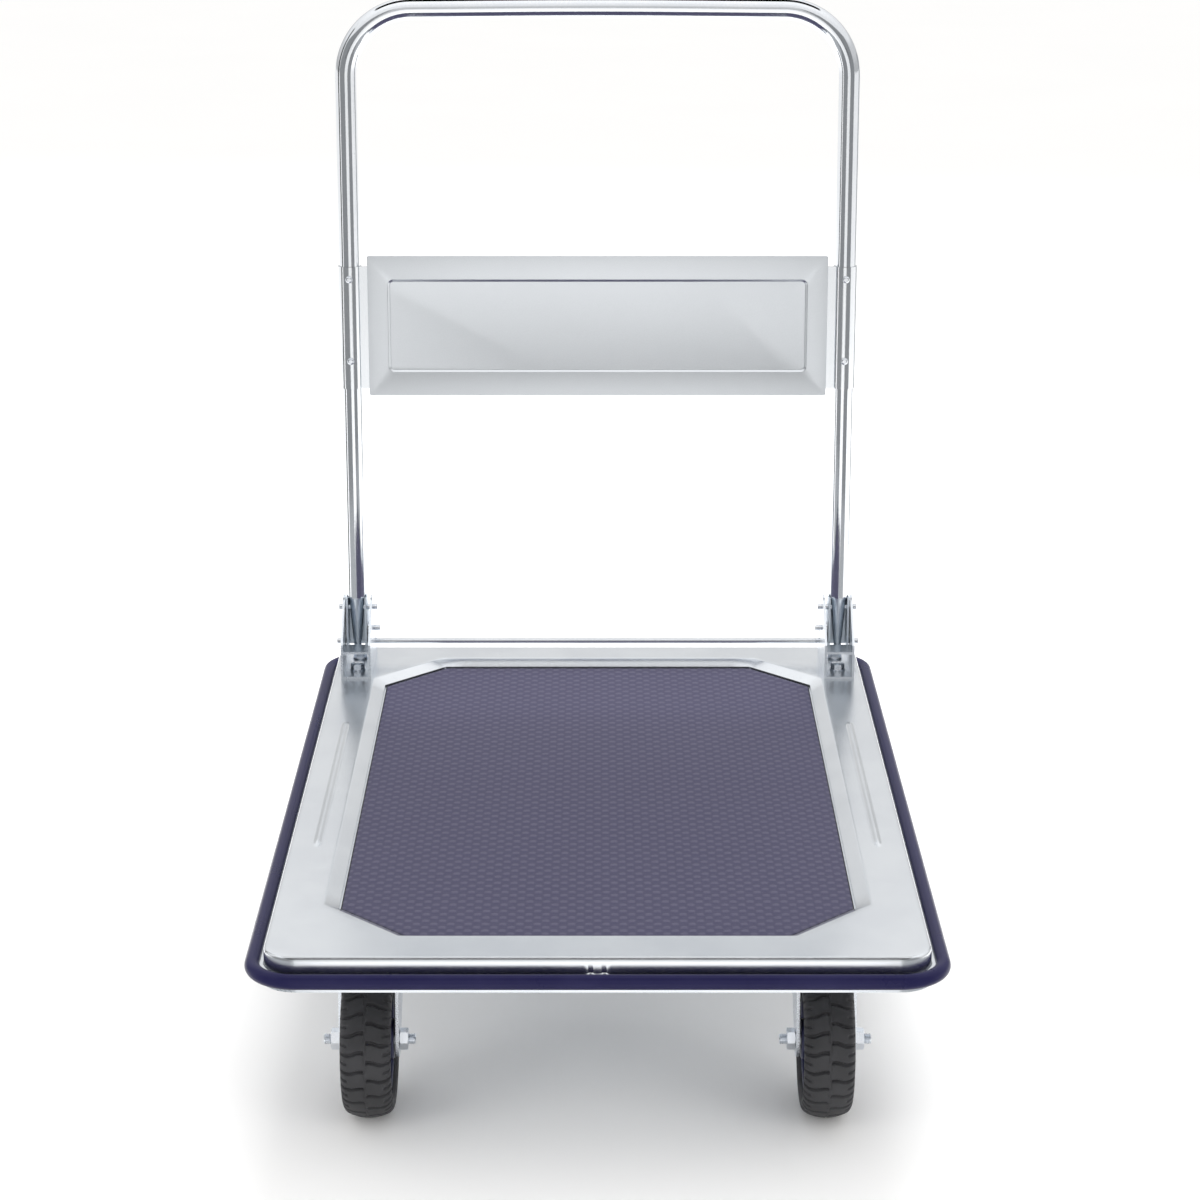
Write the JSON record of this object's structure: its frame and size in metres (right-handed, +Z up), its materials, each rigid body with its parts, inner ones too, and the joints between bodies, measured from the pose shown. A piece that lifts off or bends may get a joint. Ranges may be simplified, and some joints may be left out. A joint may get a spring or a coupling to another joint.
{
  "type": "flatbed platform truck",
  "caption": "Flatbed platform truck: zinc pressed deck with an inset mat and edge bumper, fold-down tube handle with a panel, fixed and swivel casters.",
  "frame": {"origin": "on the floor, under the middle of the deck: the bottom centre of the whole truck's bounding box", "axes": "+X across the truck to the right as seen from the open end, +Y along the deck towards the handle, +Z up"},
  "size_m": [0.61, 0.89, 0.9196],
  "materials": {
    "zinc_sheet": "bright zinc plated pressed sheet, fine grain, satin gloss",
    "zinc_frame": "bright zinc plated sheet",
    "mat": "slate violet-blue vinyl mat with a fine raised diamond pattern, matt",
    "bumper": "violet-navy soft vinyl strip, satin",
    "zinc_hardware": "bright zinc plated fasteners and pins",
    "zinc_caster": "bright zinc plated pressed steel",
    "zinc_bracket": "bright zinc plated pressed steel",
    "clamp": "bright zinc plated sheet",
    "handle_tube": "bright plated tube, mirror-like",
    "panel": "satin zinc sheet with fine grain",
    "tyre": "dark grey rubber, staggered tread blocks",
    "rim": "deep navy moulded rim",
    "bush": "natural nylon bush"
  },
  "bodies": {
    "deck": {"deck_tray": "zinc_sheet", "deck_frame": "zinc_frame", "deck_mat": "mat", "edge_bumper": "bumper", "cross_channel_front": "zinc_frame", "cross_channel_rear": "zinc_frame", "deck_ribs": "zinc_frame", "caster_bolts": "zinc_hardware", "caster_nuts": "zinc_hardware", "bracket_bolts": "zinc_hardware", "bracket_washers": "zinc_hardware", "bracket_nuts": "zinc_hardware", "latch_stubs": "zinc_hardware", "sleeves_front": "zinc_hardware", "axle_nuts_front": "zinc_hardware", "axle_front_left": "zinc_hardware", "axle_front_right": "zinc_hardware", "fixed_fork_left": "zinc_caster", "swivel_plate_left": "zinc_caster", "swivel_race_left": "zinc_caster", "kingpin_left": "zinc_hardware", "hinge_bracket_left": "zinc_bracket", "pivot_pin_left": "zinc_hardware", "fixed_fork_right": "zinc_caster", "swivel_plate_right": "zinc_caster", "swivel_race_right": "zinc_caster", "kingpin_right": "zinc_hardware", "hinge_bracket_right": "zinc_bracket", "pivot_pin_right": "zinc_hardware"},
    "handle": {"handle_tube": "handle_tube", "handle_panel": "panel", "clamp_screws": "zinc_hardware", "knuckle_left": "zinc_bracket", "panel_clamp_left": "clamp", "knuckle_right": "zinc_bracket", "panel_clamp_right": "clamp"},
    "release_lever": {"release_bar": "zinc_hardware", "latch_lever_left": "zinc_hardware", "latch_lever_right": "zinc_hardware"},
    "swivel_left": {"swivel_fork_left": "zinc_caster", "axle_rear_left": "zinc_hardware", "sleeve_rear_left": "zinc_hardware", "axle_nuts_rear_left": "zinc_hardware"},
    "swivel_right": {"swivel_fork_right": "zinc_caster", "axle_rear_right": "zinc_hardware", "sleeve_rear_right": "zinc_hardware", "axle_nuts_rear_right": "zinc_hardware"},
    "wheel_front_left": {"tyre_front_left": "tyre", "rim_front_left": "rim", "bush_front_left": "bush"},
    "wheel_front_right": {"tyre_front_right": "tyre", "rim_front_right": "rim", "bush_front_right": "bush"},
    "wheel_rear_left": {"tyre_rear_left": "tyre", "rim_rear_left": "rim", "bush_rear_left": "bush"},
    "wheel_rear_right": {"tyre_rear_right": "tyre", "rim_rear_right": "rim", "bush_rear_right": "bush"}
  },
  "joints": [
    {"name": "handle_fold", "type": "hinge", "parent": "deck", "child": "handle", "pos_m": [0, 0.366, 0.2613], "axis": [1, 0, 0], "range_deg": [0, 92]},
    {"name": "release_lift", "type": "hinge", "parent": "deck", "child": "release_lever", "pos_m": [0, 0.364, 0.2379], "axis": [1, 0, 0], "range_deg": [0, 30]},
    {"name": "caster_swivel_left", "type": "hinge", "parent": "deck", "child": "swivel_left", "pos_m": [-0.2043, 0.285, 0.15], "axis": [0, 0, 1], "continuous": true},
    {"name": "caster_swivel_right", "type": "hinge", "parent": "deck", "child": "swivel_right", "pos_m": [0.2043, 0.285, 0.15], "axis": [0, 0, 1], "continuous": true},
    {"name": "wheel_spin_front_left", "type": "hinge", "parent": "deck", "child": "wheel_front_left", "pos_m": [-0.2043, -0.3235, 0.07], "axis": [1, 0, 0], "continuous": true},
    {"name": "wheel_spin_front_right", "type": "hinge", "parent": "deck", "child": "wheel_front_right", "pos_m": [0.2043, -0.3235, 0.07], "axis": [1, 0, 0], "continuous": true},
    {"name": "wheel_spin_rear_left", "type": "hinge", "parent": "swivel_left", "child": "wheel_rear_left", "pos_m": [-0.2043, 0.327, 0.07], "axis": [1, 0, 0], "continuous": true},
    {"name": "wheel_spin_rear_right", "type": "hinge", "parent": "swivel_right", "child": "wheel_rear_right", "pos_m": [0.2043, 0.327, 0.07], "axis": [1, 0, 0], "continuous": true}
  ]
}
